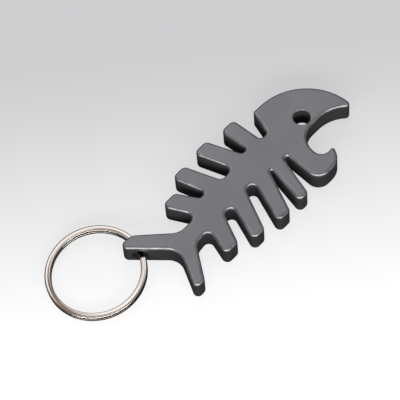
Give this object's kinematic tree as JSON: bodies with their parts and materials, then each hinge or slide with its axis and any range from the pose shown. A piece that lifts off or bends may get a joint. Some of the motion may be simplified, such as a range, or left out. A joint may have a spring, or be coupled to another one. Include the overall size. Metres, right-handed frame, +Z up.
{
  "type": "key ring bottle opener",
  "caption": "Flat metal bottle opener shaped like a fish skeleton, with an open-jawed mouth for crown caps and a split key ring swinging in a bore through one tail lobe.",
  "frame": {"origin": "on the face that lies on the table, on the spine line between the second and third ribs", "axes": "+X along the spine towards the head, +Y across the ribs towards the bored tail lobe, +Z up out of the upper face"},
  "size_m": [0.0853, 0.037, 0.006],
  "materials": {
    "body_coat": "satin graphite grey coat with softly broken edges",
    "ring_steel": "bright nickel plate on flattened spring wire"
  },
  "bodies": {
    "fish_body": {"fish_body": "body_coat"},
    "split_ring": {"split_ring": "ring_steel"}
  },
  "joints": [
    {"name": "ring_swing", "type": "hinge", "parent": "fish_body", "child": "split_ring", "pos_m": [-0.0299, 0.0078, 0.003], "axis": [0.2924, 0.9563, 0], "range_deg": [-140, 150]}
  ]
}
